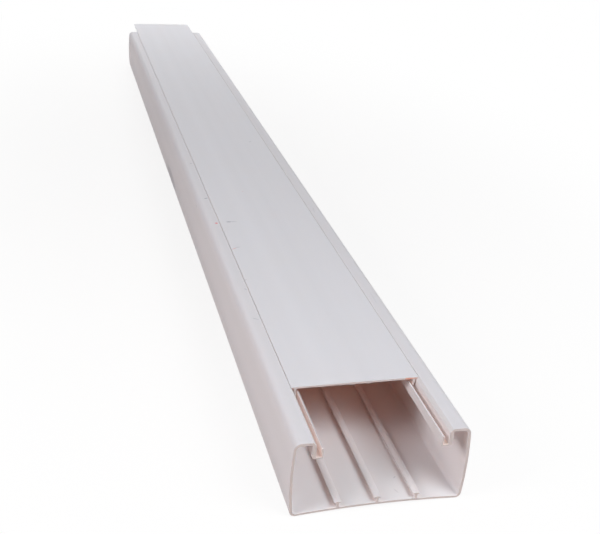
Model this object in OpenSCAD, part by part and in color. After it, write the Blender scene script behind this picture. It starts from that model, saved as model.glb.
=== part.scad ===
// Adhesive cable trunking: an extruded C-shaped base with two lid grooves and three
// T ribs, a push-on lid slid back from the near end, and two adhesive strips under the floor.
// X is the width, Y the length, Z up. The back lies on Z = 0.

/* [Trunking] */
// Length of the base and of the lid
length = 1000; // [300:50:3000]
// Greatest width over the side walls
width = 105; // [90:1:160]
// Height over the lips
height = 49; // [40:1:90]
// Thickness of the side walls
wall_t = 1.7; // [1.2:0.1:3]
// Thickness of the floor
floor_t = 1.5; // [1.2:0.1:3]
// Thickness of the two lips beside the lid
lip_t = 1.9; // [1.5:0.1:3]
// How far the side walls bulge between foot and lip
wall_crown = 1.3; // [0.4:0.1:2.5]
// How far the floor rises in its middle
floor_bow = 1.9; // [1:0.1:3]
// Outer radius where the walls turn into the lips
shoulder_r = 4.5; // [3.5:0.5:8]
// Outer radius where the walls turn into the floor
foot_r = 3.5; // [3:0.5:6]

/* [Lid grooves] */
// Clear width between the groove walls under the two lips
mouth_w = 77.4; // [50:0.2:79]
// Width of a groove at its bottom
groove_w = 3.3; // [2.8:0.1:5]
// Depth of a groove below the lip tops
groove_depth = 10; // [9:0.1:14]
// Thickness of the wall between a groove and the side cavity
groove_wall_t = 2.3; // [2:0.1:3.5]
// Thickness of a groove's floor
groove_floor_t = 1; // [0.8:0.1:2]
// Height of the thin upstand above the groove's floor
upstand_h = 5.6; // [4:0.1:7]
// Thickness of the upstand
upstand_t = 1.15; // [0.8:0.05:1.6]
// How far the upstand's top leans towards the lip
upstand_lean = 0.4; // [0.1:0.1:0.6]
// Width of the sloping seat along the lip's inner edge
seat_w = 1.7; // [1.2:0.1:1.9]
// Height of the sloping seat
seat_h = 2.4; // [2.1:0.1:3]

/* [Ribs] */
// Number of T ribs along the floor
rib_count = 3; // [1:1:4]
// Distance between neighbouring ribs
rib_pitch = 23.4; // [12:0.2:26]
// Height of a rib above the floor
rib_h = 4; // [3:0.1:6]
// Thickness of a rib's stem
rib_stem_t = 1.5; // [1:0.1:2.2]
// Width of a rib's domed cap
rib_cap_w = 4.1; // [3.2:0.1:6]
// Thickness of the cap at its edges
rib_cap_t = 0.8; // [0.5:0.1:1.2]
// How far the cap's top rises above its edges
rib_dome = 0.5; // [0.2:0.1:0.8]

/* [Lid] */
// How far the lid is slid back from the near end
lid_setback = 55; // [0:5:200]
// Thickness of the lid
lid_t = 1.4; // [1:0.1:1.9]
// Gap between the lid's sloping edge and its seat
lid_clearance = 0.2; // [0.15:0.05:0.5]
// Gap between a leg's root and the groove wall
leg_gap = 0.5; // [0.4:0.05:0.8]
// Thickness of a leg at the lid
leg_root_t = 1.6; // [1:0.1:1.7]
// Thickness of a leg just above its snap bead
leg_waist_t = 0.7; // [0.5:0.05:1]
// Gap between a leg's tip and the groove's floor
leg_floor_gap = 3.4; // [1:0.1:3.8]
// Height of the snap bead on a leg's inner side, up from its tip
bead_h = 1.6; // [0.8:0.1:2]
// How far the snap bead stands out from the leg
bead_out = 0.85; // [0.3:0.05:0.95]

/* [Adhesive] */
// Width of an adhesive strip
strip_w = 12; // [6:1:20]
// Distance between the middles of the two strips
strip_spacing = 40; // [24:1:60]
// Distance from the ends of the base to the ends of the strips
strip_end_gap = 10; // [2:1:40]

/* [Hidden] */

pvc_white = [0.86, 0.86, 0.87];
lid_white = [0.88, 0.88, 0.90];
liner_cream = [0.93, 0.90, 0.80];

// Greatest distance between a drawn arc and the true one
arc_error = 0.02;
// Small radii of the extruded edges, and the rounder corner behind each groove
sharp = 0;
joint_r = 0.2;
crisp_r = 0.4;
soft_r = 0.8;
groove_corner_r = 1.5;

// Lengthwise places: base and lid are as long as each other and share the middle of the whole
base_front = -(length + lid_setback) / 2;
base_back = base_front + length;
lid_front = base_front + lid_setback;
lid_back = lid_front + length;

// Side wall: one large arc, its middle at half the height
wall_r = (height * height / 4 + wall_crown * wall_crown) / (2 * wall_crown);
wall_c = [width / 2 - wall_r, height / 2];
wall_inner_r = wall_r - wall_t;

// Shoulder: touches the wall's arc and the lip's top, and inside the lip's underside
shoulder_c = beside_wall(wall_r - shoulder_r, height - shoulder_r);
shoulder_inner_r = shoulder_r - wall_t;
shoulder_inner_c = beside_wall(wall_inner_r - shoulder_inner_r, height - lip_t - shoulder_inner_r);

// Foot: touches the wall's arc and stands on Z = 0, and the bowed floor's arc touches it
foot_c = beside_wall(wall_r - foot_r, foot_r);
bow_r = (foot_c.x * foot_c.x + floor_bow * floor_bow) / (2 * floor_bow) - foot_r;
bow_c = [0, floor_bow - bow_r];
foot_inner_r = foot_r - wall_t;
foot_inner_c = crossing(bow_c, bow_r + floor_t + foot_inner_r, wall_c, wall_inner_r - foot_inner_r);

// Lid groove, on the side where X is positive
groove_wall_x = mouth_w / 2;
groove_back_x = groove_wall_x + groove_wall_t;
groove_z = height - groove_depth;
groove_under_z = groove_z - groove_floor_t;
upstand_x = groove_wall_x - groove_w;
upstand_top_z = groove_z + upstand_h;
seat_x = groove_wall_x + seat_w;

// Lid: its edge slopes as the seat does, a clearance away from it
lid_edge_x = seat_x - lid_clearance * norm([seat_w, seat_h]) / seat_h;
lid_under_z = height - lid_t;
lid_under_x = lid_edge_x - lid_t * seat_w / seat_h;
leg_outer_x = groove_wall_x - leg_gap;
leg_tip_x = leg_outer_x - leg_gap;
leg_tip_z = groove_z + leg_floor_gap;
leg_inner_x = leg_tip_x - leg_waist_t;

// Centre of an arc that lies at height z and at distance r from the middle of the wall's arc
function beside_wall(r, z) = [wall_c.x + sqrt(r * r - (z - wall_c.y) * (z - wall_c.y)), z];

// Where two circles cross, on the right of the line from the first centre to the second
function crossing(c1, r1, c2, r2) =
    let (
        d = norm(c2 - c1),
        u = (c2 - c1) / d,
        along = (d * d + r1 * r1 - r2 * r2) / (2 * d),
        across = sqrt(r1 * r1 - along * along)
    )
    c1 + along * u + across * [u.y, -u.x];

function heading(from, to) = atan2(to.y - from.y, to.x - from.x);

// Points of an arc, close enough together to keep within arc_error of it
function arc(c, r, a0, a1) =
    let (
        step = 2 * acos(1 - min(arc_error / r, 0.3)),
        n = max(1, ceil(abs(a1 - a0) / step))
    )
    [for (i = [0:n]) let (a = a0 + (a1 - a0) * i / n) c + r * [cos(a), sin(a)]];

// The corner at p, between the points before and after it, rounded to radius r
function rounded(before, p, after, r) =
    let (
        u = (before - p) / norm(before - p),
        v = (after - p) / norm(after - p),
        half = acos(u * v) / 2,
        reach = min(r / tan(half), norm(before - p) / 2, norm(after - p) / 2),
        fit_r = reach * tan(half),
        c = p + (u + v) / norm(u + v) * fit_r / sin(half),
        a0 = heading(c, p + reach * u),
        turn = heading(c, p + reach * v) - a0
    )
    arc(c, fit_r, a0, a0 + turn - 360 * round(turn / 360));

// An open run of straight stretches whose corners, given as [point, radius], are rounded
function run(corners) =
    [for (i = [1:len(corners) - 2])
        each rounded(corners[i - 1][0], corners[i][0], corners[i + 1][0], corners[i][1])];

// A half outline that starts and ends on X = 0, and its mirror image
function both_sides(half) =
    concat(half, [for (i = [len(half) - 1:-1:0]) [-half[i].x, half[i].y]]);

// Underside of the floor from its middle to where the foot begins
function floor_underside() = arc(bow_c, bow_r, 90, heading(bow_c, foot_c));

function outer_wall() = concat(
    arc(foot_c, foot_r, heading(bow_c, foot_c) - 180, heading(wall_c, foot_c)),
    arc(wall_c, wall_r, heading(wall_c, foot_c), heading(wall_c, shoulder_c)),
    arc(shoulder_c, shoulder_r, heading(wall_c, shoulder_c), 90)
);

// The lip, its sloping seat, the groove, the leaning upstand and the way back under the lip
function lip_and_groove() = run([
    [[shoulder_c.x, height], sharp],
    [[seat_x, height], joint_r],
    [[groove_wall_x, height - seat_h], soft_r],
    [[groove_wall_x, groove_z], soft_r],
    [[upstand_x, groove_z], crisp_r],
    [[upstand_x + upstand_lean, upstand_top_z], upstand_t / 2],
    [[upstand_x + upstand_lean - upstand_t, upstand_top_z], upstand_t / 2],
    [[upstand_x - upstand_t, groove_under_z], soft_r],
    [[groove_back_x, groove_under_z], groove_corner_r],
    [[groove_back_x, height - lip_t], crisp_r],
    [[shoulder_inner_c.x, height - lip_t], sharp]
]);

function inner_wall() =
    let (foot_a = heading(wall_c, foot_inner_c), bow_a = heading(bow_c, foot_inner_c))
    concat(
        arc(shoulder_inner_c, shoulder_inner_r, 90, heading(wall_c, shoulder_inner_c)),
        arc(wall_c, wall_inner_r, heading(wall_c, shoulder_inner_c), foot_a),
        arc(foot_inner_c, foot_inner_r, foot_a, bow_a - 180),
        arc(bow_c, bow_r + floor_t, bow_a, 90)
    );

// A T rib drawn from the floor's top at Y = 0: a stem with filleted roots and a domed cap
module rib_section() {
    root_x = rib_stem_t / 2 + crisp_r;
    cap_z = rib_h - rib_dome;
    dome_r = (rib_cap_w * rib_cap_w / 4 + rib_dome * rib_dome) / (2 * rib_dome);
    dome_a = asin(rib_cap_w / 2 / dome_r);
    polygon(both_sides(concat(
        [[0, -floor_t / 2], [root_x, -floor_t / 2]],
        arc([root_x, crisp_r], crisp_r, 270, 180),
        run([
            [[rib_stem_t / 2, crisp_r], sharp],
            [[rib_stem_t / 2, cap_z - rib_cap_t], crisp_r],
            [[rib_cap_w / 2, cap_z - rib_cap_t], crisp_r],
            [[rib_cap_w / 2, cap_z], sharp]
        ]),
        arc([0, rib_h - dome_r], dome_r, 90 - dome_a, 90)
    )));
}

// The channel with its lips and grooves, and the ribs standing square on the bowed floor
module base_section() {
    floor_r = bow_r + floor_t;
    polygon(both_sides(concat(floor_underside(), outer_wall(), lip_and_groove(), inner_wall())));
    for (i = [0:rib_count - 1]) {
        x = (i - (rib_count - 1) / 2) * rib_pitch;
        translate(bow_c) rotate(-asin(x / floor_r)) translate([0, floor_r]) rib_section();
    }
}

// Flush plate with sloping edges and two tapered legs that go into the grooves, each with a snap bead
module lid_section() {
    polygon(both_sides(concat(
        [[0, lid_under_z]],
        run([
            [[0, lid_under_z], sharp],
            [[leg_outer_x - leg_root_t, lid_under_z], soft_r],
            [[leg_inner_x, leg_tip_z + bead_h], soft_r],
            [[leg_inner_x - bead_out, leg_tip_z + bead_h / 2], soft_r],
            [[leg_inner_x, leg_tip_z], crisp_r],
            [[leg_tip_x, leg_tip_z], crisp_r],
            [[leg_outer_x, lid_under_z], crisp_r],
            [[lid_under_x, lid_under_z], crisp_r],
            [[lid_edge_x, height], joint_r],
            [[0, height], sharp]
        ]),
        [[0, height]]
    )));
}

// Foam strip that fills the hollow of the bowed floor down to Z = 0
module strip_section(x) {
    intersection() {
        polygon(both_sides(concat(floor_underside(), [[foot_c.x, 0], [0, 0]])));
        translate([x - strip_w / 2, 0]) square([strip_w, floor_bow]);
    }
}

// Extrudes a section drawn in X and Z from y0 to y1
module along_length(y0, y1) {
    translate([0, y1, 0]) rotate([90, 0, 0]) linear_extrude(height = y1 - y0) children();
}

module trunking_base() {
    color(pvc_white) along_length(base_front, base_back) base_section();
}

module lid() {
    color(lid_white) along_length(lid_front, lid_back) lid_section();
}

module adhesive_strip(side) {
    color(liner_cream)
        along_length(base_front + strip_end_gap, base_back - strip_end_gap)
            strip_section(side * strip_spacing / 2);
}

trunking_base();
lid();
adhesive_strip(-1);  // adhesive_strip_left
adhesive_strip(1);  // adhesive_strip_right
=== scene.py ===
"""Looks of a cable trunking: a ribbed base, a lid slid back along it and two adhesive strips."""

import math

import bpy
import numpy as np
from bpy.props import FloatProperty, FloatVectorProperty, IntProperty, PointerProperty
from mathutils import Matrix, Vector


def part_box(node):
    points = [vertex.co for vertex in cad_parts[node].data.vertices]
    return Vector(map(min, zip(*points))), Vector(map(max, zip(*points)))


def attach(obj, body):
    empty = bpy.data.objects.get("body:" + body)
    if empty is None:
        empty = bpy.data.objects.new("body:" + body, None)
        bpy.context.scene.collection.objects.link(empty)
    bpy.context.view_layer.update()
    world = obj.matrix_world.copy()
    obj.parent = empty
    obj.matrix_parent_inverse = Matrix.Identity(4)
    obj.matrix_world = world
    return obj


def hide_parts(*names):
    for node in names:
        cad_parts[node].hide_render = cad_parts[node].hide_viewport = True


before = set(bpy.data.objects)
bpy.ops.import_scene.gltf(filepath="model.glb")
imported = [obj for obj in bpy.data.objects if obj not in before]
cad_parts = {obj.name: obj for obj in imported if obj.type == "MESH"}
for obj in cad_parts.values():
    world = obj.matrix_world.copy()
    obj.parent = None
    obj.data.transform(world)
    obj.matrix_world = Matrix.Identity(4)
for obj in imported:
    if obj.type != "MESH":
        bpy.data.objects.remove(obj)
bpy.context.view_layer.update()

BASE_LOW, BASE_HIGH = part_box("trunking_base")
LID_LOW, LID_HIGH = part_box("lid")

bl_info = {
    "name": "Cable Trunking",
    "version": (1, 0, 0),
    "blender": (4, 5, 0),
    "location": "3D View > Sidebar > Trunking",
    "description": "Builds an extruded cable trunking with its sliding lid and adhesive strips",
    "category": "Add Mesh",
}

MM = 0.001
# Greatest turn and greatest step between neighbouring points of an outline
ARC_STEP = math.radians(9)
OUTLINE_STEP = 1.6 * MM
# Points of an outline that lie closer than this are one point
SAME_POINT = 1e-7
# A stretch whose middle is lower than this lies on the ground
ON_GROUND = 5e-7
# Distance between the rings of a sweep
RING_STEP = 40 * MM
# How far from a sawn end its unevenness dies out
SAW_REACH = 5 * MM
# Starting phases of the saw's wander, so that no two kinds of piece are cut alike
BASE_SAW_SEED, LID_SAW_SEED, STRIP_SAW_SEED = 1.7, 2.9, 3.3
# Height of the plate's lower edge that a burr hangs from
BURR_EDGE = 0.3 * MM
# Edges that turn more than this are drawn sharp
SHARP_ANGLE = math.radians(32)

# Room for rounding when a stretch of an outline is told by its place: well clear of a face, still
# on a face, and just under the rim of an upstand
CLEAR_OF = 0.2 * MM
STILL_ON = 0.1 * MM
UNDER_RIM = 0.02 * MM
# Material slots of the base, the lid and the strips
OUTSIDE, GROOVE, RIB, INSIDE, BASE_CUT = range(5)
SKIN, LEG, LID_CUT = range(3)
FOAM, LINER = range(2)

# Shares of the light that pass through the plastic: of the walls and the floor, of the lid, of the
# ribs and the hooks that carry the grooves, and of the thin grooves and legs
WALL_SHARE = 0.18
LID_SHARE = 0.31
RIB_SHARE = 0.58
EDGE_SHARE = 0.37
# What a groove's share is multiplied by at its rim and at its bottom, and the height above its
# floor below which it counts as its bottom. The larger share and paler tint at the rim are painted
# light, as if light fell on the rim from above
RIM_GAIN, BOTTOM_GAIN = 1.7, 1.1
BOTTOM_HEIGHT = 1.5 * MM
# How far a ragged patch reaches, in half sizes, with its ragged edge
MARK_REACH = 1.4

VECTOR, NUMBER = "NodeSocketVector", "NodeSocketFloat"


def millimetres(name, description, value):
    """A length property whose default is given in millimetres."""
    return FloatProperty(
        name=name, description=description, default=value * MM, unit="LENGTH", precision=5
    )


def colour(name, description, value):
    """A linear colour property."""
    return FloatVectorProperty(
        name=name, description=description, default=value, subtype="COLOR", size=3, min=0, max=1
    )


class TrunkingSizes(bpy.types.PropertyGroup):
    """Sizes of the sections, as the solids have them, and of the cuts."""

    width: millimetres("Width", "Greatest width over the side walls", 2 * BASE_HIGH.x / MM)
    height: millimetres("Height", "Height over the lips", BASE_HIGH.z / MM)
    wall_t: millimetres("Wall", "Thickness of the side walls", 1.7)
    floor_t: millimetres("Floor", "Thickness of the floor", 1.5)
    lip_t: millimetres("Lip", "Thickness of the lips beside the lid", 1.9)
    wall_crown: millimetres("Wall crown", "Bulge of the side walls", 1.3)
    floor_bow: millimetres("Floor bow", "Rise of the floor in its middle", 1.9)
    shoulder_r: millimetres("Shoulder radius", "Radius between wall and lip", 4.5)
    foot_r: millimetres("Foot radius", "Radius between wall and floor", 3.5)
    mouth_w: millimetres("Mouth", "Clear width between the groove walls", 77.4)
    groove_w: millimetres("Groove width", "Width of a groove at its bottom", 3.3)
    groove_depth: millimetres("Groove depth", "Depth below the lip tops", 10.0)
    groove_wall_t: millimetres("Groove wall", "Wall behind a groove", 2.3)
    groove_floor_t: millimetres("Groove floor", "Thickness under a groove", 1.0)
    upstand_h: millimetres("Upstand height", "Upstand above the groove's floor", 5.6)
    upstand_t: millimetres("Upstand thickness", "Thickness of the upstand", 1.15)
    upstand_lean: millimetres("Upstand lean", "Lean of the upstand's top", 0.4)
    seat_w: millimetres("Seat width", "Width of the sloping seat", 1.7)
    seat_h: millimetres("Seat height", "Height of the sloping seat", 2.4)
    rib_count: IntProperty(name="Ribs", description="Ribs along the floor", default=3, min=1)
    rib_pitch: millimetres("Rib pitch", "Distance between neighbouring ribs", 23.4)
    rib_h: millimetres("Rib height", "Height of a rib above the floor", 4.0)
    rib_stem_t: millimetres("Rib stem", "Thickness of a rib's stem", 1.5)
    rib_cap_w: millimetres("Rib cap width", "Width of a rib's domed cap", 4.1)
    rib_cap_t: millimetres("Rib cap edge", "Thickness of the cap at its edges", 0.8)
    rib_dome: millimetres("Rib dome", "Rise of the cap above its edges", 0.5)
    lid_t: millimetres("Lid", "Thickness of the lid", 1.4)
    lid_clearance: millimetres("Lid clearance", "Gap between lid edge and seat", 0.2)
    leg_gap: millimetres("Leg gap", "Gap between leg root and groove wall", 0.5)
    leg_root_t: millimetres("Leg root", "Thickness of a leg at the lid", 1.6)
    leg_waist_t: millimetres("Leg waist", "Thickness of a leg just above its snap bead", 0.7)
    leg_floor_gap: millimetres("Leg end gap", "Gap between leg tip and groove floor", 3.4)
    bead_h: millimetres("Bead height", "Height of the snap bead on a leg", 1.6)
    bead_out: millimetres("Bead depth", "How far the snap bead stands out", 0.85)
    joint_r: millimetres("Joint radius", "Radius of the edges where lid and lips meet", 0.2)
    crisp_r: millimetres("Crisp radius", "Radius of the sharpest extruded edges", 0.4)
    soft_r: millimetres("Soft radius", "Radius of the softer extruded edges", 0.8)
    groove_corner_r: millimetres("Groove corner", "Radius behind a groove", 1.5)
    saw_chamfer: millimetres("Saw chamfer", "Broken edge round a sawn end", 0.15)
    lid_saw_wander: millimetres("Lid saw wander", "Unevenness of the lid's cut", 0.12)
    base_saw_wander: millimetres("Base saw wander", "Unevenness of the base's cut", 0.03)
    burr_h: millimetres("Burr", "Longest burr under the lid's near cut", 0.5)
    strip_edge_r: millimetres("Strip edge", "Radius of a strip's lower edges", 0.05)
    strip_chamfer: millimetres("Strip chamfer", "Broken edge round a strip's ends", 0.03)
    strip_wander: millimetres("Strip wander", "Unevenness of a strip's ends", 0.05)


class TrunkingFinish(bpy.types.PropertyGroup):
    """Colours of the finishes."""

    base_white: colour("Base", "Plastic of the base, outside", (0.68, 0.685, 0.725))
    # Painted light: the inside of the channel gets a paler white than the outside of the same
    # plastic, to lighten its shade
    inner_white_painted_light: colour("Inside", "Cleaner plastic inside the channel", (0.775, 0.785, 0.815))
    # Painted light: the ribs and hooks get a paler white than the outside of the same plastic, to
    # lighten their shade
    rib_white_painted_light: colour("Ribs", "Plastic of the ribs and hooks", (0.75, 0.745, 0.77))
    lid_white: colour("Lid", "Plastic of the lid", (0.695, 0.71, 0.755))
    # Partly painted light: the sawn white is warmer than the skin, partly the cut's own tone and
    # partly warm light painted onto the front-facing cuts
    sawn_white_and_painted_light: colour("Sawn face", "Plastic where it was cut", (0.75, 0.685, 0.685))
    aged_white: colour("Aged plastic", "Faint warm patches in the plastic", (0.69, 0.67, 0.67))
    # Painted light: the grooves and the lid's legs get a far paler white than the rest of the same
    # plastic, to lighten the shade in the grooves
    thin_white_painted_light: colour("Thin edges", "Plastic of the lid grooves and legs", (0.94, 0.915, 0.905))
    # Grey of the real scuffs, and also of a painted shadow low on the base's left wall
    scuff_and_shadow_grey: colour("Grey scuff", "Rubbed-on grey marks", (0.27, 0.30, 0.36))
    scuff_red: colour("Red scuff", "Rubbed-on red marks", (0.75, 0.25, 0.25))
    # Painted light: this orange stands in for a glow of light through the plastic at the lid's cut
    # corners
    painted_glow_orange: colour("Stain", "Orange stain on the lid's cut", (0.80, 0.36, 0.25))
    through_warm: colour("Wall light", "Light through walls and lid", (0.95, 0.56, 0.41))
    through_pale: colour("Rib light", "Light through ribs, hooks and legs", (0.97, 0.84, 0.79))
    through_groove: colour("Groove light", "Light through a groove's bottom", (0.90, 0.73, 0.66))
    # Painted light: this paler tint at an upstand's rim stands in for light falling on the rim from
    # above
    through_rim_and_painted_light: colour("Rim light", "Light through an upstand's rim", (0.93, 0.93, 0.96))
    foam_white: colour("Foam", "Foam of the adhesive strips", (0.78, 0.77, 0.73))
    liner_cream: colour("Liner", "Peel-off liner of the strips", (0.85, 0.80, 0.66))


def crossing(c1, r1, c2, r2):
    """Where two circles cross, on the right of the line from the first centre to the second."""
    d = np.hypot(*(c2 - c1))
    u = (c2 - c1) / d
    along = (d * d + r1 * r1 - r2 * r2) / (2 * d)
    across = math.sqrt(r1 * r1 - along * along)
    return c1 + along * u + across * np.array((u[1], -u[0]))


def heading(start, end):
    """Angle of the line from one point to another."""
    return math.atan2(end[1] - start[1], end[0] - start[0])


def arc(centre, radius, start, end):
    """Centre plus radius times (cos a, sin a), with the angle a going evenly from start to end."""
    turn = abs(end - start)
    n = max(1, math.ceil(max(turn / ARC_STEP, turn * radius / OUTLINE_STEP)))
    a = np.linspace(start, end, n + 1)
    return np.asarray(centre) + radius * np.stack((np.cos(a), np.sin(a)), axis=1)


def rounded(before, corner, after, radius):
    """The arc that touches both straight stretches at a corner, no longer than half of either."""
    before, corner, after = (np.asarray(p, float) for p in (before, corner, after))
    u, v = before - corner, after - corner
    reach_u, reach_v = np.hypot(*u), np.hypot(*v)
    u, v = u / reach_u, v / reach_v
    half = math.acos(np.clip(u @ v, -1, 1)) / 2
    reach = min(radius / math.tan(half), reach_u / 2, reach_v / 2)
    if reach <= 0:
        return corner[None, :]
    fit = reach * math.tan(half)
    middle = (u + v) / np.hypot(*(u + v))
    centre = corner + middle * fit / math.sin(half)
    start = heading(centre, corner + reach * u)
    turn = heading(centre, corner + reach * v) - start
    turn -= math.tau * round(turn / math.tau)
    return arc(centre, fit, start, start + turn)


def run(*corners):
    """Straight stretches whose corners, given as (point, radius), are rounded. The two ends are
    only aimed at."""
    points = [point for point, radius in corners]
    stretches = zip(points, corners[1:], points[2:])
    return np.concatenate(
        [rounded(before, corner, after, radius) for before, (corner, radius), after in stretches]
    )


def both_sides(half):
    """A half outline followed by its mirror image, in reverse."""
    return np.concatenate((half, half[::-1] * (-1, 1)))


def closed(half):
    """A half outline from the middle plane to the middle plane, closed by its mirror image,
    without doubled points."""
    whole = both_sides(half)
    step = np.hypot(*(whole - np.roll(whole, 1, axis=0)).T)
    return whole[step > SAME_POINT]


def evenly(outline):
    """The closed outline with each stretch cut into equal steps no longer than OUTLINE_STEP."""
    ahead = np.roll(outline, -1, axis=0) - outline
    parts = np.maximum(1, np.ceil(np.hypot(*ahead.T) / OUTLINE_STEP)).astype(int)
    owner = np.repeat(np.arange(len(outline)), parts)
    first = np.repeat(np.cumsum(parts) - parts, parts)
    share = (np.arange(parts.sum()) - first) / parts[owner]
    return outline[owner] + ahead[owner] * share[:, None]


def middles(outline):
    """The middle of each stretch of a closed outline."""
    return (outline + np.roll(outline, -1, axis=0)) / 2


def outward(outline):
    """Unit normals of a closed outline that runs anticlockwise, from the chord between each
    point's neighbours."""
    chord = np.roll(outline, -1, axis=0) - np.roll(outline, 1, axis=0)
    chord /= np.hypot(*chord.T)[:, None]
    return np.stack((chord[:, 1], -chord[:, 0]), axis=1)


# In what follows, s stands for the sizes and t for the levels that are derived from them
class Trunk:
    """Centres, radii and levels that the outlines share, on the side where X is positive."""

    def __init__(self, s):
        self.wall_r = (s.height**2 / 4 + s.wall_crown**2) / (2 * s.wall_crown)
        self.wall_c = np.array((s.width / 2 - self.wall_r, s.height / 2))
        self.wall_inner_r = self.wall_r - s.wall_t
        self.shoulder_c = self.beside_wall(self.wall_r - s.shoulder_r, s.height - s.shoulder_r)
        self.shoulder_inner_r = s.shoulder_r - s.wall_t
        self.shoulder_inner_c = self.beside_wall(
            self.wall_inner_r - self.shoulder_inner_r, s.height - s.lip_t - self.shoulder_inner_r
        )
        self.foot_c = self.beside_wall(self.wall_r - s.foot_r, s.foot_r)
        self.bow_r = (self.foot_c[0] ** 2 + s.floor_bow**2) / (2 * s.floor_bow) - s.foot_r
        self.bow_c = np.array((0, s.floor_bow - self.bow_r))
        self.floor_r = self.bow_r + s.floor_t
        self.foot_inner_r = s.foot_r - s.wall_t
        self.foot_inner_c = crossing(
            self.bow_c,
            self.floor_r + self.foot_inner_r,
            self.wall_c,
            self.wall_inner_r - self.foot_inner_r,
        )
        self.groove_x = s.mouth_w / 2
        self.groove_z = s.height - s.groove_depth
        self.rim_z = self.groove_z + s.upstand_h

    def beside_wall(self, r, z):
        """The point at height z and at distance r from the middle of the wall's large arc."""
        return np.array((self.wall_c[0] + math.sqrt(r * r - (z - self.wall_c[1]) ** 2), z))


def outer_half(s, t):
    """Underside of the bowed floor, round foot, crowned wall and round shoulder, each an arc that
    touches the next."""
    foot_a = heading(t.bow_c, t.foot_c)
    low_a, high_a = heading(t.wall_c, t.foot_c), heading(t.wall_c, t.shoulder_c)
    return np.concatenate(
        (
            arc(t.bow_c, t.bow_r, math.pi / 2, foot_a),
            arc(t.foot_c, s.foot_r, foot_a - math.pi, low_a),
            arc(t.wall_c, t.wall_r, low_a, high_a),
            arc(t.shoulder_c, s.shoulder_r, high_a, math.pi / 2),
        )
    )


def groove_half(s, t):
    """Lip top, sloping seat, groove, leaning upstand and the way back under the lip, as straight
    stretches with rounded corners."""
    under = t.groove_z - s.groove_floor_t
    upstand_x = t.groove_x - s.groove_w
    back_x = t.groove_x + s.groove_wall_t
    return run(
        ((t.shoulder_c[0], s.height), 0),
        ((t.groove_x + s.seat_w, s.height), s.joint_r),
        ((t.groove_x, s.height - s.seat_h), s.soft_r),
        ((t.groove_x, t.groove_z), s.soft_r),
        ((upstand_x, t.groove_z), s.crisp_r),
        ((upstand_x + s.upstand_lean, t.rim_z), s.upstand_t / 2),
        ((upstand_x + s.upstand_lean - s.upstand_t, t.rim_z), s.joint_r),
        ((upstand_x - s.upstand_t, under), s.soft_r),
        ((back_x, under), s.groove_corner_r),
        ((back_x, s.height - s.lip_t), s.crisp_r),
        ((t.shoulder_inner_c[0], s.height - s.lip_t), 0),
    )


def rib_half(s):
    """Right half of a T rib above the floor: filleted root, stem, underside of the cap, edge and
    dome."""
    root_x, cap_z = s.rib_stem_t / 2 + s.crisp_r, s.rib_h - s.rib_dome
    dome_r = (s.rib_cap_w**2 / 4 + s.rib_dome**2) / (2 * s.rib_dome)
    dome_a = math.asin(s.rib_cap_w / 2 / dome_r)
    return np.concatenate(
        (
            arc((root_x, s.crisp_r), s.crisp_r, math.radians(270), math.radians(180)),
            run(
                ((s.rib_stem_t / 2, s.crisp_r), 0),
                ((s.rib_stem_t / 2, cap_z - s.rib_cap_t), s.crisp_r),
                ((s.rib_cap_w / 2, cap_z - s.rib_cap_t), s.crisp_r),
                ((s.rib_cap_w / 2, cap_z), 0),
            ),
            arc((0, s.rib_h - dome_r), dome_r, math.pi / 2 - dome_a, math.pi / 2),
        )
    )


def inner_half(s, t):
    """Inside of shoulder, wall and foot, then the floor's top as an arc that the ribs interrupt,
    each square to it."""
    foot_a, bow_a = heading(t.wall_c, t.foot_inner_c), heading(t.bow_c, t.foot_inner_c)
    top_a = heading(t.wall_c, t.shoulder_inner_c)
    pieces = [
        arc(t.shoulder_inner_c, t.shoulder_inner_r, math.pi / 2, top_a),
        arc(t.wall_c, t.wall_inner_r, top_a, foot_a),
        arc(t.foot_inner_c, t.foot_inner_r, foot_a, bow_a - math.pi),
    ]
    half = rib_half(s)
    root_a = half[0, 0] / t.floor_r
    places = (np.arange(s.rib_count) - (s.rib_count - 1) / 2) * s.rib_pitch
    reached = bow_a
    for x in sorted(places[places > -MM], reverse=True):
        lean = math.asin(x / t.floor_r)
        cos, sin = math.cos(lean), math.sin(lean)
        rib = half if x < MM else both_sides(half)
        pieces.append(arc(t.bow_c, t.floor_r, reached, math.pi / 2 - lean - root_a))
        pieces.append(t.bow_c + (rib + (0, t.floor_r)) @ np.array(((cos, -sin), (sin, cos))))
        reached = math.pi / 2 - lean + root_a
    if reached < math.pi / 2:
        pieces.append(arc(t.bow_c, t.floor_r, reached, math.pi / 2))
    return np.concatenate(pieces)


def base_outline(s, t):
    """The base's section: outside, lips and grooves, then inside with its ribs, and the mirror
    image of it all."""
    return evenly(closed(np.concatenate((outer_half(s, t), groove_half(s, t), inner_half(s, t)))))


def base_slots(s, t, outline):
    """The material slot of each stretch of the base's section, told by the place of its middle:
    in a groove, on the ribs or the hooks that carry the grooves, elsewhere inside, or outside."""
    middle = middles(outline)
    x, z = np.abs(middle[:, 0]), middle[:, 1]
    inside = (outward(outline) * ((0, s.height / 2) - middle)).sum(axis=1) > 0
    rib_z = s.floor_bow + s.floor_t + CLEAR_OF
    ribs = (x < s.rib_count * s.rib_pitch / 2) & (z > rib_z) & (z < s.height / 2)
    depth = t.groove_x - x
    groove = (depth > CLEAR_OF) & (depth < s.groove_w + CLEAR_OF)
    groove &= (z > t.groove_z - STILL_ON) & (z < t.rim_z - UNDER_RIM)
    hook = (depth > -s.groove_wall_t - STILL_ON) & (z < s.height - s.seat_h)
    hook &= z > t.groove_z - s.groove_floor_t - STILL_ON
    hook &= (z < t.rim_z - CLEAR_OF) | (depth < CLEAR_OF)
    return np.select((groove, ribs | hook, inside), (GROOVE, RIB, INSIDE), OUTSIDE)


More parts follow.
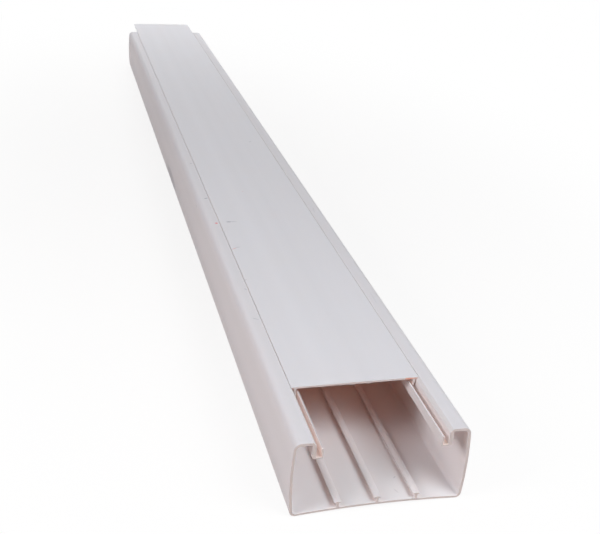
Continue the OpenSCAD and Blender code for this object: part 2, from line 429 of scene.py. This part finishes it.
def lid_outline(s, t):
    """The lid's section: a plate whose edges slope as the seats do, and two tapered legs, each
    with a snap bead."""
    slope = math.hypot(s.seat_w, s.seat_h) / s.seat_h
    edge_x = t.groove_x + s.seat_w - s.lid_clearance * slope
    under_z, tip_z = s.height - s.lid_t, t.groove_z + s.leg_floor_gap
    leg_x = t.groove_x - s.leg_gap
    tip_x = leg_x - s.leg_gap
    inner_x = tip_x - s.leg_waist_t
    half = run(
        ((-leg_x, under_z), 0),
        ((0, under_z), 0),
        ((leg_x - s.leg_root_t, under_z), s.soft_r),
        ((inner_x, tip_z + s.bead_h), s.soft_r),
        ((inner_x - s.bead_out, tip_z + s.bead_h / 2), s.soft_r),
        ((inner_x, tip_z), s.crisp_r),
        ((tip_x, tip_z), s.crisp_r),
        ((leg_x, under_z), s.crisp_r),
        ((edge_x - s.lid_t * s.seat_w / s.seat_h, under_z), s.crisp_r),
        ((edge_x, s.height), s.joint_r),
        ((0, s.height), 0),
        ((-edge_x, s.height), 0),
    )
    return evenly(closed(half))


def strip_outline(s, t, low_x, high_x):
    """A strip's section: flat liner on the ground, upright edges, and a top that follows the bowed
    floor."""
    start, end = (math.acos(x / t.bow_r) for x in (high_x, low_x))
    top = arc(t.bow_c, t.bow_r, start, end)
    foot = run(
        (top[-1], 0),
        ((low_x, 0), s.strip_edge_r),
        ((high_x, 0), s.strip_edge_r),
        (top[0], 0),
    )
    return evenly(np.concatenate((top, foot)))


def saw_line(x, z, seed):
    """A saw's wander over a cut face: three sine waves of falling pitch across it, scaled to about
    -1 to 1."""
    waves = np.array(((0.31, 0.17), (0.83, -0.41), (2.3, 1.1))) / MM
    phase = np.array((1.0, 2.2, 4.1)) * seed
    share = np.array((0.5, 0.3, 0.2))
    angle = x[:, None] * waves[:, 0] + z[:, None] * waves[:, 1] + phase
    return (share * np.sin(angle)).sum(axis=1)


def lid_burr(x, z, under_z):
    """How much of the longest burr hangs at a point: a few narrow bells along X, only on the
    plate's lower edge."""
    places = np.array((-21.0, -9.0, -2.5, 4.0, 8.5, 15.0)) * MM
    widths = np.array((1.6, 1.0, 2.2, 1.2, 1.8, 1.0)) * MM
    share = np.array((0.35, 0.3, 0.6, 0.45, 1.0, 0.3))
    bells = (share * np.exp(-(((x[:, None] - places) / widths) ** 2))).sum(axis=1)
    return bells * (np.abs(z - under_z) < BURR_EDGE)


def swept(outline, near, far, chamfer, wander, seed):
    """A section carried along Y: ring i is the outline at station i, the end rings are drawn in by
    the chamfer along the outline's normals, and near an end each point is moved along Y by wander
    times the saw line."""
    stations = max(2, round((far - near) / RING_STEP))
    inner = np.linspace(near + SAW_REACH, far - SAW_REACH, stations)
    y = np.concatenate(((near, near + chamfer), inner, (far - chamfer, far)))
    draw_in = np.zeros(len(y))
    draw_in[[0, -1]] = chamfer
    rings = outline[None] - outward(outline)[None] * draw_in[:, None, None]
    grid = np.empty((len(y), len(outline), 3))
    grid[..., 0], grid[..., 2] = rings[..., 0], rings[..., 1]
    grid[..., 1] = y[:, None]
    x, z = outline.T
    grid[:2, :, 1] += wander * saw_line(x, z, seed)
    grid[-2:, :, 1] += wander * saw_line(x, z, seed + 1)
    return grid


def closed_mesh(name, grid, materials, side_slots, end_slot):
    """A mesh of quads between neighbouring rings, whose material slots are given once round the
    outline, closed by one face at each end, which takes its own material."""
    rings, n = grid.shape[:2]
    i, j = np.meshgrid(np.arange(rings - 1), np.arange(n), indexing="ij")
    k = (j + 1) % n
    sides = np.stack((i * n + j, (i + 1) * n + j, (i + 1) * n + k, i * n + k), axis=-1)
    ends = [np.arange(n).tolist(), (np.arange(n)[::-1] + (rings - 1) * n).tolist()]
    mesh = bpy.data.meshes.new(name)
    mesh.from_pydata(grid.reshape(-1, 3).tolist(), [], sides.reshape(-1, 4).tolist() + ends)
    for material in materials:
        mesh.materials.append(material)
    slots = np.append(np.tile(side_slots, rings - 1), (end_slot, end_slot)).astype(np.int32)
    mesh.polygons.foreach_set("material_index", slots)
    mesh.shade_smooth()
    mesh.set_sharp_from_angle(angle=SHARP_ANGLE)
    mesh.validate()
    piece = bpy.data.objects.new(name, mesh)
    bpy.context.scene.collection.objects.link(piece)
    return piece


def feed(tree, socket, value):
    """Links an input to a socket, or sets it to a plain value."""
    if isinstance(value, bpy.types.NodeSocket):
        tree.links.new(value, socket)
    else:
        socket.default_value = value


def place(tree, kind, links=(), **settings):
    """A new node with its settings, and its inputs fed by name or number."""
    node = tree.nodes.new(kind)
    for key, value in settings.items():
        setattr(node, key, value)
    for key, value in dict(links).items():
        feed(tree, node.inputs[key], value)
    return node


def spaced(links):
    """Inputs by their names, from keywords that have underscores for spaces."""
    return {key.replace("_", " "): value for key, value in links.items()}


def use(tree, name, **links):
    """The outputs of a shared effect placed in a tree, made at its first use, its inputs fed by
    their names."""
    effect = bpy.data.node_groups.get(name) or EFFECTS[name](name)
    return place(tree, "ShaderNodeGroup", spaced(links), node_tree=effect).outputs


def math_node(tree, operation, *values):
    """The result of a Math node on values or sockets."""
    return place(tree, "ShaderNodeMath", enumerate(values), operation=operation).outputs[0]


def stretch(tree, value, times, plus):
    """A value times a factor, plus another value."""
    return math_node(tree, "MULTIPLY_ADD", value, times, plus)


def ramp(tree, value, low, high, start=0.0, end=1.0, smooth=True):
    """A value carried from the range low to high onto start to end, and held at both."""
    links = {"Value": value, "From Min": low, "From Max": high, "To Min": start, "To Max": end}
    kind = "SMOOTHSTEP" if smooth else "LINEAR"
    return place(tree, "ShaderNodeMapRange", links, interpolation_type=kind).outputs[0]


def vector_math(tree, operation, *values):
    """The result of a Vector Math node on values or sockets."""
    node = place(tree, "ShaderNodeVectorMath", enumerate(values), operation=operation)
    return node.outputs["Value" if operation == "LENGTH" else "Vector"]


def turned(tree, vector, angle, axis):
    """A vector turned about an axis through the origin."""
    links = {"Vector": vector, "Angle": angle}
    return place(tree, "ShaderNodeVectorRotate", links, rotation_type=axis).outputs[0]


def height_of(tree, vector):
    """The Z of a vector."""
    return place(tree, "ShaderNodeSeparateXYZ", {0: vector}).outputs[2]


def noise(tree, vector, **links):
    """The value of a noise texture."""
    return place(tree, "ShaderNodeTexNoise", {"Vector": vector, **links}).outputs[0]


def blend(tree, share, low, high, mode="MIX"):
    """The result of mixing two colours, given as sockets or linear colours, by a share."""
    node = place(tree, "ShaderNodeMix", {0: share}, data_type="RGBA", blend_type=mode)
    for key, value in ((6, low), (7, high)):
        given = isinstance(value, bpy.types.NodeSocket)
        feed(tree, node.inputs[key], value if given else (*value, 1))
    return node.outputs[2]


def relief(tree, height, strength, depth):
    """The normal of a relief, from its height as a value from 0 to 1 and its depth in
    millimetres."""
    links = {"Height": height, "Strength": strength, "Distance": depth * MM}
    return place(tree, "ShaderNodeBump", links).outputs[0]


def mix_shader(tree, share, first, second):
    """Two shaders mixed by the share of the second."""
    return place(
        tree, "ShaderNodeMixShader", {0: share, 1: first.outputs[0], 2: second.outputs[0]}
    )


def group(name, inputs, *outputs):
    """An empty shader node group with named sockets: the group, what it is given, and its output
    node."""
    tree = bpy.data.node_groups.new(name, "ShaderNodeTree")
    for socket, (kind, value) in inputs.items():
        made = tree.interface.new_socket(socket, in_out="INPUT", socket_type=kind)
        if value is not None:
            made.default_value = value
    for socket in outputs:
        tree.interface.new_socket(socket, in_out="OUTPUT", socket_type=NUMBER)
    return tree, tree.nodes.new("NodeGroupInput").outputs, tree.nodes.new("NodeGroupOutput")


def send(tree, end, **values):
    """The node group, with values linked to its outputs of those names."""
    for key, value in values.items():
        tree.links.new(value, end.inputs[key])
    return tree


def die_lines(name):
    """Lines that the die leaves: noise drawn out along Y, with a broader tone under it."""
    tree, given, end = group(
        name,
        {"Vector": (VECTOR, None), "Lines": (NUMBER, 700.0), "Drift": (NUMBER, 3.0)},
        "Tone",
        "Height",
    )
    scales = {0: given["Lines"], 1: given["Drift"], 2: given["Lines"]}
    across = place(tree, "ShaderNodeCombineXYZ", scales).outputs[0]
    drawn = vector_math(tree, "MULTIPLY", given["Vector"], across)
    lines = noise(tree, drawn, Scale=1.0, Detail=3.0, Roughness=0.6)
    broad = noise(tree, drawn, Scale=0.12, Detail=1.0)
    return send(tree, end, Tone=broad, Height=lines)


def fine_grain(name):
    """Fine specks for relief, and broad clouds for tone."""
    tree, given, end = group(
        name, {"Vector": (VECTOR, None), "Scale": (NUMBER, 1500.0)}, "Tone", "Height"
    )
    specks = noise(tree, given["Vector"], Scale=given["Scale"], Detail=2.0)
    clouds = noise(tree, given["Vector"], Scale=22.0, Detail=4.0)
    return send(tree, end, Tone=clouds, Height=specks)


def ragged_patch(name):
    """A ragged oval at a place, turned by a heading: 1 inside it, fading to 0 at its edge."""
    tree, given, end = group(
        name,
        {
            "Vector": (VECTOR, None),
            "Centre": (VECTOR, (0, 0, 0)),
            "Half Size": (VECTOR, (0.002, 0.001, 0.002)),
            "Heading": (NUMBER, 0.0),
            "Softness": (NUMBER, 0.5),
        },
        "Mask",
    )
    local = vector_math(tree, "SUBTRACT", given["Vector"], given["Centre"])
    level = turned(tree, local, math_node(tree, "MULTIPLY", given["Heading"], -1.0), "Z_AXIS")
    reach = vector_math(tree, "LENGTH", vector_math(tree, "DIVIDE", level, given["Half Size"]))
    rough = noise(tree, given["Vector"], Scale=900.0, Detail=3.0)
    ragged = stretch(tree, rough, times=0.8, plus=reach)
    full = math_node(tree, "SUBTRACT", MARK_REACH, given["Softness"])
    return send(tree, end, Mask=ramp(tree, ragged, MARK_REACH, full))


def saw_marks(name):
    """Leaning lines that the saw's teeth leave, torn by noise."""
    tree, given, end = group(
        name,
        {"Vector": (VECTOR, None), "Pitch": (NUMBER, 900.0), "Lean": (NUMBER, 0.35)},
        "Tone",
        "Height",
    )
    waves = {
        "Vector": turned(tree, given["Vector"], given["Lean"], "Y_AXIS"),
        "Scale": given["Pitch"],
        "Distortion": 2.5,
        "Detail": 3.0,
        "Detail Scale": 0.6,
    }
    teeth = place(tree, "ShaderNodeTexWave", waves, bands_direction="X").outputs["Fac"]
    torn = noise(tree, given["Vector"], Scale=1800.0, Detail=3.0)
    return send(tree, end, Tone=torn, Height=stretch(tree, torn, times=0.6, plus=teeth))


# The effects that several finishes share, by the names of their node groups
EFFECTS = {
    "Die Lines": die_lines,
    "Fine Grain": fine_grain,
    "Ragged Patch": ragged_patch,
    "Saw Marks": saw_marks,
}


# Rubbed-on marks, a painted shadow and a painted glow: place and half size in millimetres, heading
# in degrees, strength and colour
LID_MARKS = (
    ((-30.4, -225.2, 49), (5.6, 0.7, 2), -12, 0.42, "scuff_and_shadow_grey"),
    ((-32.6, -226.0, 49), (2.2, 0.8, 2), -6, 0.75, "scuff_and_shadow_grey"),
    ((-37.6, -277.4, 49), (2.8, 0.6, 2), 28, 0.50, "scuff_red"),
    ((-34.4, -275.0, 49), (2.6, 0.6, 2), 8, 0.45, "scuff_and_shadow_grey"),
    ((-39.4, -331.0, 49), (1.8, 0.6, 2), 33, 0.30, "scuff_and_shadow_grey"),
    ((25.5, -25.5, 49), (2.0, 0.9, 2), 32, 0.35, "scuff_and_shadow_grey"),
    ((-8.2, -159.9, 49), (0.9, 0.7, 2), 0, 0.25, "scuff_red"),
)
# Painted glow: orange patches on the lid's cut corners that stand in for light coming through the
# plastic
LID_CUT_MARKS = (
    ((34.0, -472.5, 48.2), (3.4, 2, 1.0), 0, 0.80, "painted_glow_orange"),
    ((37.6, -472.5, 48.2), (2.6, 2, 0.8), 0, 0.45, "painted_glow_orange"),
    ((-39.4, -472.5, 47.9), (0.9, 2, 0.6), 0, 0.40, "painted_glow_orange"),
)
BASE_MARKS = (
    ((-42.9, -227.5, 49), (1.5, 1.6, 2), 0, 1.0, "scuff_red"),
    ((-42.8, -173.3, 49), (1.9, 0.9, 2), 6, 0.80, "scuff_and_shadow_grey"),
    ((-42.9, -85.2, 49), (1.8, 0.9, 2), 23, 0.45, "scuff_and_shadow_grey"),
    ((-42.0, -345.3, 49), (2.0, 0.6, 2), -62, 0.35, "scuff_and_shadow_grey"),
    ((-43.9, -388.2, 49), (3.0, 0.7, 2), -36, 0.30, "scuff_and_shadow_grey"),
    ((44.0, -207.4, 49), (7.5, 0.5, 2), -96, 0.18, "scuff_and_shadow_grey"),
    ((44.7, -369.6, 49), (11.0, 0.5, 2), -91, 0.12, "scuff_and_shadow_grey"),
    ((-51.6, -176.8, 43.7), (3.2, 2.0, 1.2), -90, 0.25, "scuff_and_shadow_grey"),
    # Painted shadow: a broad dark patch low on the left wall, where shade falls; not a scuff
    ((-51.5, -12.0, 8), (42.0, 4.0, 9), 90, 0.35, "scuff_and_shadow_grey"),
    ((17.4, -507.4, 3.2), (1.6, 0.6, 2), 43, 0.25, "scuff_and_shadow_grey"),
    ((14.1, -519.6, 3.2), (2.6, 0.6, 2), -68, 0.18, "scuff_and_shadow_grey"),
)


def new_material(name):
    """An empty node material, its nodes and its object coordinates."""
    material = bpy.data.materials.new(name)
    material.use_nodes = True
    tree = material.node_tree
    tree.nodes.clear()
    return material, tree, tree.nodes.new("ShaderNodeTexCoord").outputs["Object"]


def material_named(make, finish, name, *arguments):
    """The material of that name, made if it isn't there yet."""
    return bpy.data.materials.get(name) or make(name, finish, *arguments)


def show(tree, shader):
    """Joins a shader to a new material output."""
    place(tree, "ShaderNodeOutputMaterial", {"Surface": shader.outputs[0]})


def principled(tree, **links):
    """A Principled BSDF, its inputs fed by their names."""
    return place(tree, "ShaderNodeBsdfPrincipled", spaced(links))


def plastic_skin(tree, tone, rough, normal):
    """Plastic that scatters a little light under its skin."""
    return principled(
        tree,
        Base_Color=tone,
        Roughness=rough,
        Normal=normal,
        IOR=1.53,
        Specular_IOR_Level=0.15,
        Subsurface_Weight=0.2,
        Subsurface_Radius=(1.0, 0.8, 0.7),
        Subsurface_Scale=0.6 * MM,
    )


def leaky(tree, skin, share, tint):
    """A skin that lets a share of the light through the wall in a colour."""
    through = place(tree, "ShaderNodeBsdfTranslucent", {"Color": tint})
    return mix_shader(tree, share, skin, through)


def show_wall(tree, skin, share, tint):
    """Shows plastic that is opaque to the eye, and that lets light through only on its way round
    the hollow, where it warms the inside."""
    bounced = tree.nodes.new("ShaderNodeLightPath").outputs["Is Diffuse Ray"]
    show(tree, mix_shader(tree, bounced, skin, leaky(tree, skin, share, (*tint, 1))))


def show_groove(tree, coords, skin, share, tint, rim_z, bottom_z, rim_tint):
    """Shows thin plastic that lets light through to the eye as well, more and paler towards the rim
    of the upstand: painted light that makes the rim paler than the bottom, as light falling from
    above would."""
    low = ramp(tree, height_of(tree, coords), rim_z, bottom_z, smooth=False)
    graded = stretch(tree, low, times=(BOTTOM_GAIN - RIM_GAIN) * share, plus=RIM_GAIN * share)
    show(tree, leaky(tree, skin, graded, blend(tree, low, rim_tint, tint)))


def marked(tree, coords, finish, marks, tone, rough):
    """Tone and roughness of a surface with its marks, among them painted shadow and glow, laid over
    each other.
    """
    for centre, half, degrees, strength, mark_and_painted_light in marks:
        mark = use(
            tree,
            "Ragged Patch",
            Vector=coords,
            Centre=[c * MM for c in centre],
            Half_Size=[h * MM for h in half],
            Heading=math.radians(degrees),
        )
        share = math_node(tree, "MULTIPLY", mark["Mask"], strength)
        tone = blend(tree, share, tone, getattr(finish, mark_and_painted_light))
        rough = stretch(tree, share, times=0.3, plus=rough)
    return tone, rough


def extruded_pvc(name, finish, white, marks, share, tint, groove=None):
    """Satin white plastic as it leaves the die: faint lines along the length, cloudy warmth, fine
    grain and marks, among them a painted shadow on the base. A groove is given by the heights of
    its rim and bottom and its rim's tint, between which its painted light is graded."""
    material, tree, coords = new_material(name)
    lines = use(tree, "Die Lines", Vector=coords)
    grain = use(tree, "Fine Grain", Vector=coords)
    warmth = math_node(tree, "MULTIPLY", grain["Tone"], 0.25)
    tone = blend(tree, warmth, white, finish.aged_white)
    shade = stretch(tree, lines["Tone"], times=0.07, plus=0.965)
    tone = blend(tree, 1.0, tone, shade, mode="MULTIPLY")
    rough = stretch(tree, lines["Height"], times=0.16, plus=0.48)
    tone, rough = marked(tree, coords, finish, marks, tone, rough)
    height = stretch(tree, grain["Height"], times=0.5, plus=lines["Height"])
    skin = plastic_skin(tree, tone, rough, relief(tree, height, strength=0.12, depth=0.03))
    if groove:
        show_groove(tree, coords, skin, share, tint, *groove)
    else:
        show_wall(tree, skin, share, tint)
    return material


def sawn_pvc(name, finish, marks):
    """Plastic where the saw went through: matt and torn in fine leaning lines. Its white is warmer
    than the skin's, partly the cut's own tone and partly painted warm light on the cuts, which face
    the front. On the lid its marks are a painted glow."""
    material, tree, coords = new_material(name)
    saw = use(tree, "Saw Marks", Vector=coords)
    tone = blend(tree, saw["Tone"], finish.sawn_white_and_painted_light, finish.aged_white)
    rough = stretch(tree, saw["Tone"], times=0.2, plus=0.55)
    tone, rough = marked(tree, coords, finish, marks, tone, rough)
    normal = relief(tree, saw["Height"], strength=0.5, depth=0.06)
    show_wall(tree, plastic_skin(tree, tone, rough, normal), WALL_SHARE, finish.through_warm)
    return material


def tape_liner(name, finish):
    """Waxed paper liner of the adhesive strips: cream, smooth, with slight cockling and fibres."""
    material, tree, coords = new_material(name)
    grain = use(tree, "Fine Grain", Vector=coords, Scale=2200.0)
    fibres = use(tree, "Die Lines", Vector=coords, Lines=1800.0, Drift=260.0)
    tone = blend(tree, grain["Tone"], finish.liner_cream, finish.foam_white)
    shade = stretch(tree, fibres["Height"], times=0.12, plus=0.93)
    tone = blend(tree, 1.0, tone, shade, mode="MULTIPLY")
    rough = stretch(tree, grain["Height"], times=0.15, plus=0.38)
    cockle = stretch(tree, grain["Tone"], times=3.0, plus=fibres["Height"])
    normal = relief(tree, cockle, strength=0.35, depth=0.08)
    show(tree, principled(tree, Base_Color=tone, Roughness=rough, Normal=normal))
    return material


def strip_foam(name, finish):
    """Closed-cell foam along the edges of the adhesive strips: matt, with small round cells."""
    material, tree, coords = new_material(name)
    links = {"Vector": coords, "Scale": 2600.0}
    cells = place(tree, "ShaderNodeTexVoronoi", links, feature="SMOOTH_F1").outputs["Distance"]
    tone = blend(tree, cells, finish.foam_white, finish.aged_white)
    rough = stretch(tree, cells, times=0.2, plus=0.7)
    normal = relief(tree, cells, strength=0.6, depth=0.1)
    show(tree, principled(tree, Base_Color=tone, Roughness=rough, Normal=normal))
    return material


def base_materials(finish, t):
    """The base's materials, in the order of its slots."""
    warm, pale = finish.through_warm, finish.through_pale
    groove = (t.rim_z, t.groove_z + BOTTOM_HEIGHT, finish.through_rim_and_painted_light)
    # The inside, the ribs and hooks, and the grooves take paler whites than the outside of the same
    # plastic: painted light that lightens their shade
    skins = (
        ("base_extruded_pvc", finish.base_white, BASE_MARKS, WALL_SHARE, warm),
        ("groove_pvc", finish.thin_white_painted_light, (), EDGE_SHARE, finish.through_groove, groove),
        ("rib_pvc", finish.rib_white_painted_light, (), RIB_SHARE, pale),
        ("inner_pvc", finish.inner_white_painted_light, BASE_MARKS, WALL_SHARE, warm),
    )
    made = [material_named(extruded_pvc, finish, *skin) for skin in skins]
    return made + [material_named(sawn_pvc, finish, "base_sawn_pvc", ())]


def lid_materials(finish):
    """The lid's materials, in the order of its slots."""
    warm, pale = finish.through_warm, finish.through_pale
    skins = (
        ("lid_extruded_pvc", finish.lid_white, LID_MARKS, LID_SHARE, warm),
        # The legs take the paler thin white: painted light that lightens their shade
        ("leg_pvc", finish.thin_white_painted_light, (), EDGE_SHARE, pale),
    )
    made = [material_named(extruded_pvc, finish, *skin) for skin in skins]
    return made + [material_named(sawn_pvc, finish, "lid_sawn_pvc", LID_CUT_MARKS)]


class TRUNKING_OT_base(bpy.types.Operator):
    """Build the ribbed base from its section, with both ends sawn square"""

    bl_idname = "trunking.base"
    bl_label = "Base"

    def execute(self, context):
        s, finish = context.scene.trunking_sizes, context.scene.trunking_finish
        t = Trunk(s)
        outline = base_outline(s, t)
        grid = swept(
            outline, BASE_LOW.y, BASE_HIGH.y, s.saw_chamfer, s.base_saw_wander, BASE_SAW_SEED
        )
        slots = base_slots(s, t, outline)
        piece = closed_mesh("ribbed_base", grid, base_materials(finish, t), slots, BASE_CUT)
        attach(piece, "base")
        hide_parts("trunking_base")
        return {"FINISHED"}


class TRUNKING_OT_lid(bpy.types.Operator):
    """Build the push-on lid from its section, with a hand-sawn near end and its burr"""

    bl_idname = "trunking.lid"
    bl_label = "Lid"

    def execute(self, context):
        s, finish = context.scene.trunking_sizes, context.scene.trunking_finish
        outline = lid_outline(s, Trunk(s))
        under_z = s.height - s.lid_t
        slots = np.where(middles(outline)[:, 1] < under_z - s.soft_r, LEG, SKIN)
        grid = swept(outline, LID_LOW.y, LID_HIGH.y, s.saw_chamfer, s.lid_saw_wander, LID_SAW_SEED)
        grid[:2, :, 2] -= s.burr_h * lid_burr(grid[0, :, 0], grid[0, :, 2], under_z)
        piece = closed_mesh("push_on_lid", grid, lid_materials(finish), slots, LID_CUT)
        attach(piece, "cover")
        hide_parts("lid")
        return {"FINISHED"}


class TRUNKING_OT_strips(bpy.types.Operator):
    """Build the two adhesive strips that fill the hollow under the bowed floor"""

    bl_idname = "trunking.strips"
    bl_label = "Adhesive strips"

    def execute(self, context):
        s, finish = context.scene.trunking_sizes, context.scene.trunking_finish
        foam = material_named(strip_foam, finish, "strip_foam")
        liner = material_named(tape_liner, finish, "tape_liner")
        for side in ("left", "right"):
            low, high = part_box("adhesive_strip_" + side)
            outline = strip_outline(s, Trunk(s), low.x, high.x)
            grid = swept(outline, low.y, high.y, s.strip_chamfer, s.strip_wander, STRIP_SAW_SEED)
            slots = np.where(middles(outline)[:, 1] < ON_GROUND, LINER, FOAM)
            piece = closed_mesh("peel_strip_" + side, grid, (foam, liner), slots, FOAM)
            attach(piece, "base")
            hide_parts("adhesive_strip_" + side)
        return {"FINISHED"}


# Viewing place and angles of the photograph, in metres and degrees, and its lens and sensor, in
# millimetres
CAMERA_AT = (-0.16997, -0.93163, 0.35609)
CAMERA_TURN = (64.3575, -3.6591, -14.0821)
CAMERA_LENS = 57.4853
CAMERA_SENSOR = 36
CAMERA_CLIP = 0.01

# Light of the surround from the sides and from above, and how steeply upwards it is that from above
SIDE_LIGHT = (0.115, 0.09, 0.08)
TOP_LIGHT = (0.06, 0.06, 0.065)
TOP_FROM = 0.8

# The floor's half length and depth below the part, and the colours that it shows and throws back
FLOOR_HALF = 4.0
FLOOR_DROP = 0.2 * MM
FLOOR_SHOWN = (0.98, 0.98, 0.98, 1)
FLOOR_THROWN = (0.55, 0.45, 0.40, 1)
# The shadow on the floor: its reach is shortened along Y, and it fades between two distances
SHADOW_SHAPE = (1.0, 0.55, 1.0)
SHADOW_FROM, SHADOW_TO = 0.1, 0.5
# How white the floor stays under the shadow
SHADOW_WHITE = 0.84

WHITE = (1, 1, 1, 1)

# Soft lamps: place, aim and size in metres, power in watts, tint, and width of the beam in degrees
NEAR_AIM, FAR_AIM = (0.0, -0.42, 0.03), (0.0, 0.40, 0.03)
LAMPS = (
    ("key", (0.52, -1.02, 0.93), NEAR_AIM, 0.75, 11.3, (1.0, 0.995, 0.995), 180),
    ("over_left", (-0.60, -0.55, 0.90), NEAR_AIM, 0.6, 0.9, (1.0, 0.99, 0.99), 180),
    ("left", (-0.95, -0.64, 0.61), NEAR_AIM, 0.45, 6.2, (1.0, 0.945, 0.94), 180),
    ("low_left", (-0.95, -1.05, 0.33), NEAR_AIM, 0.5, 0.75, (1.0, 0.91, 0.88), 180),
    ("back", (0.35, 2.30, 0.95), FAR_AIM, 1.1, 6.5, (1.0, 0.98, 0.97), 180),
    ("right", (1.00, 0.34, 0.24), FAR_AIM, 0.6, 0.85, (1.0, 0.98, 0.97), 70),
    ("far_left", (-0.95, 0.90, 0.24), (0.0, 0.46, 0.03), 0.6, 0.32, (1.0, 0.97, 0.97), 46),
    ("beyond", (0.20, 1.15, 1.30), (0.0, 0.95, 0.03), 0.8, 2.2, (1.0, 0.99, 0.99), 64),
)


def white_to_camera(tree):
    """1 for rays that show the background: from the camera, or by way of a reflection or clear
    material."""
    path = tree.nodes.new("ShaderNodeLightPath").outputs
    shown = math_node(tree, "MAXIMUM", path["Is Camera Ray"], path["Is Glossy Ray"])
    return math_node(tree, "MAXIMUM", shown, path["Is Transmission Ray"])


def studio_world():
    """A white surround to the eye that lights from above with cool white and from the sides with
    warm white."""
    world = bpy.data.worlds.new("studio")
    world.use_nodes = True
    tree = world.node_tree
    tree.nodes.clear()
    up = height_of(tree, tree.nodes.new("ShaderNodeTexCoord").outputs["Generated"])
    light = blend(tree, ramp(tree, up, 0.0, TOP_FROM), SIDE_LIGHT, TOP_LIGHT)
    lit = place(tree, "ShaderNodeBackground", {"Color": light, "Strength": 1.0})
    seen = place(tree, "ShaderNodeBackground", {"Color": WHITE, "Strength": 1.0})
    either = mix_shader(tree, white_to_camera(tree), lit, seen)
    place(tree, "ShaderNodeOutputWorld", {"Surface": either.outputs[0]})
    bpy.context.scene.world = world


def studio_floor():
    """A pale floor: white with a faint shadow to the eye, warm in what it throws back, and clear
    from below."""
    corners = FLOOR_HALF * np.array(((-1, -1), (1, -1), (1, 1), (-1, 1)))
    mesh = bpy.data.meshes.new("floor")
    mesh.from_pydata(np.c_[corners, np.full(4, -FLOOR_DROP)].tolist(), [], [(0, 1, 2, 3)])
    material, tree, coords = new_material("pale_floor")
    material.cycles.emission_sampling = "NONE"
    away = vector_math(tree, "LENGTH", vector_math(tree, "MULTIPLY", coords, SHADOW_SHAPE))
    plain = ramp(tree, away, SHADOW_FROM, SHADOW_TO, start=SHADOW_WHITE)
    shadowed = place(tree, "ShaderNodeBsdfDiffuse", {"Color": FLOOR_SHOWN})
    glow = place(tree, "ShaderNodeEmission", {"Color": WHITE, "Strength": 1.0})
    seen = mix_shader(tree, plain, shadowed, glow)
    thrown = place(tree, "ShaderNodeBsdfDiffuse", {"Color": FLOOR_THROWN})
    either = mix_shader(tree, white_to_camera(tree), thrown, seen)
    below = tree.nodes.new("ShaderNodeNewGeometry").outputs["Backfacing"]
    show(tree, mix_shader(tree, below, either, tree.nodes.new("ShaderNodeBsdfTransparent")))
    mesh.materials.append(material)
    floor = bpy.data.objects.new("floor", mesh)
    bpy.context.scene.collection.objects.link(floor)


def softbox(name, at, aim, size, watts, tint, beam):
    """A square area lamp at a place, turned to shine at a point."""
    lamp = bpy.data.lights.new(name, "AREA")
    lamp.shape, lamp.size, lamp.energy, lamp.color = "SQUARE", size, watts, tint
    lamp.spread = math.radians(beam)
    holder = bpy.data.objects.new(name, lamp)
    at, aim = np.array(at), np.array(aim)
    out = (at - aim) / np.linalg.norm(at - aim)
    holder.location = at
    holder.rotation_euler = (math.acos(out[2]), 0, math.atan2(out[0], -out[1]))
    bpy.context.scene.collection.objects.link(holder)


def photo_camera():
    """The camera at the photograph's viewing place."""
    view = bpy.data.cameras.new("camera")
    view.lens, view.sensor_width, view.clip_start = CAMERA_LENS, CAMERA_SENSOR, CAMERA_CLIP
    camera = bpy.data.objects.new("camera", view)
    camera.location = CAMERA_AT
    camera.rotation_euler = [math.radians(a) for a in CAMERA_TURN]
    bpy.context.scene.collection.objects.link(camera)
    bpy.context.scene.camera = camera


class TRUNKING_OT_stage(bpy.types.Operator):
    """Set up the pale floor, the soft light and the camera at the photograph's viewing angle"""

    bl_idname = "trunking.stage"
    bl_label = "Stage"

    def execute(self, context):
        studio_world()
        studio_floor()
        for lamp in LAMPS:
            softbox(*lamp)
        photo_camera()
        context.scene.view_settings.view_transform = "Standard"
        return {"FINISHED"}


class TRUNKING_PT_panel(bpy.types.Panel):
    """Lists the trunking's pieces, its colours and its sizes"""

    bl_idname = "TRUNKING_PT_panel"
    bl_label = "Cable Trunking"
    bl_space_type = "VIEW_3D"
    bl_region_type = "UI"
    bl_category = "Trunking"

    def draw(self, context):
        column = self.layout.column()
        for operator in OPERATORS:
            column.operator(operator.bl_idname)
        for values in (context.scene.trunking_finish, context.scene.trunking_sizes):
            for key in values.__annotations__:
                column.prop(values, key)


OPERATORS = (TRUNKING_OT_base, TRUNKING_OT_lid, TRUNKING_OT_strips, TRUNKING_OT_stage)
CLASSES = (TrunkingSizes, TrunkingFinish, *OPERATORS, TRUNKING_PT_panel)


def register():
    """Adds the classes and their properties."""
    for kind in CLASSES:
        bpy.utils.register_class(kind)
    bpy.types.Scene.trunking_sizes = PointerProperty(type=TrunkingSizes)
    bpy.types.Scene.trunking_finish = PointerProperty(type=TrunkingFinish)


def unregister():
    """Takes the properties and the classes away again."""
    del bpy.types.Scene.trunking_finish
    del bpy.types.Scene.trunking_sizes
    for kind in reversed(CLASSES):
        bpy.utils.unregister_class(kind)


def main():
    register()
    bpy.ops.trunking.base()
    bpy.ops.trunking.lid()
    bpy.ops.trunking.strips()
    bpy.ops.trunking.stage()


if __name__ == "__main__":
    main()
